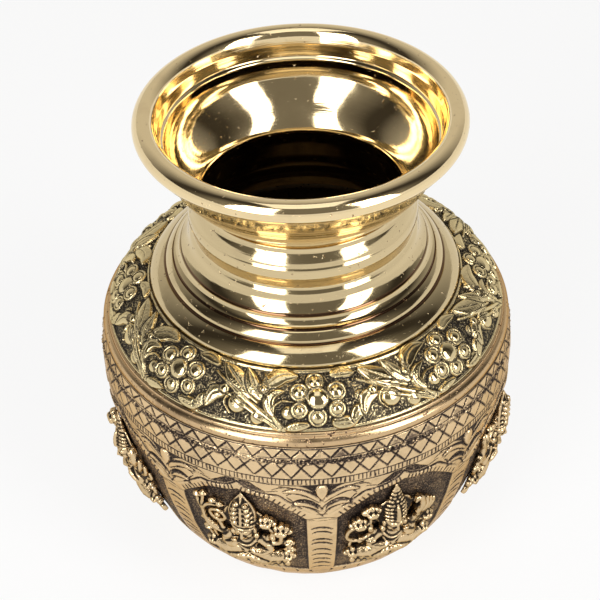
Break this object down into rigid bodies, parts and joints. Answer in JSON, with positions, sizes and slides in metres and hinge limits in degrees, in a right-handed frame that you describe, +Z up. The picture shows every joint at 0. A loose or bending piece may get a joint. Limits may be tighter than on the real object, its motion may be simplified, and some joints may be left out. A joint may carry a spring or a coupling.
{
  "type": "kalash water pot",
  "caption": "Round brass ritual water pot with a wide rolled lip, stepped collar, chased shoulder and seated figures riveted round the belly.",
  "frame": {"origin": "centre of the foot's flat underside", "axes": "+Z up the pot's axis, -Y towards the front"},
  "size_m": [0.1852, 0.1852, 0.2248],
  "materials": {
    "polished_brass": "polished, fine turning lines",
    "chased_brass": "chased and stippled, dark in the recesses",
    "cast_brass": "cast, worn, dark in the recesses",
    "rivet_brass": "hammered"
  },
  "bodies": {
    "root": {"foot_ring": "polished_brass", "bowl": "chased_brass", "belly_bead": "polished_brass", "shoulder": "chased_brass", "collar": "polished_brass", "mouth_rim": "polished_brass", "figure_1": "cast_brass", "figure_2": "cast_brass", "figure_3": "cast_brass", "figure_4": "cast_brass", "figure_5": "cast_brass", "figure_6": "cast_brass", "figure_7": "cast_brass", "figure_8": "cast_brass", "rivet_1a": "rivet_brass", "rivet_1b": "rivet_brass", "rivet_2a": "rivet_brass", "rivet_2b": "rivet_brass", "rivet_3a": "rivet_brass", "rivet_3b": "rivet_brass", "rivet_4a": "rivet_brass", "rivet_4b": "rivet_brass", "rivet_5a": "rivet_brass", "rivet_5b": "rivet_brass", "rivet_6a": "rivet_brass", "rivet_6b": "rivet_brass", "rivet_7a": "rivet_brass", "rivet_7b": "rivet_brass", "rivet_8a": "rivet_brass", "rivet_8b": "rivet_brass"}
  },
  "joints": []
}
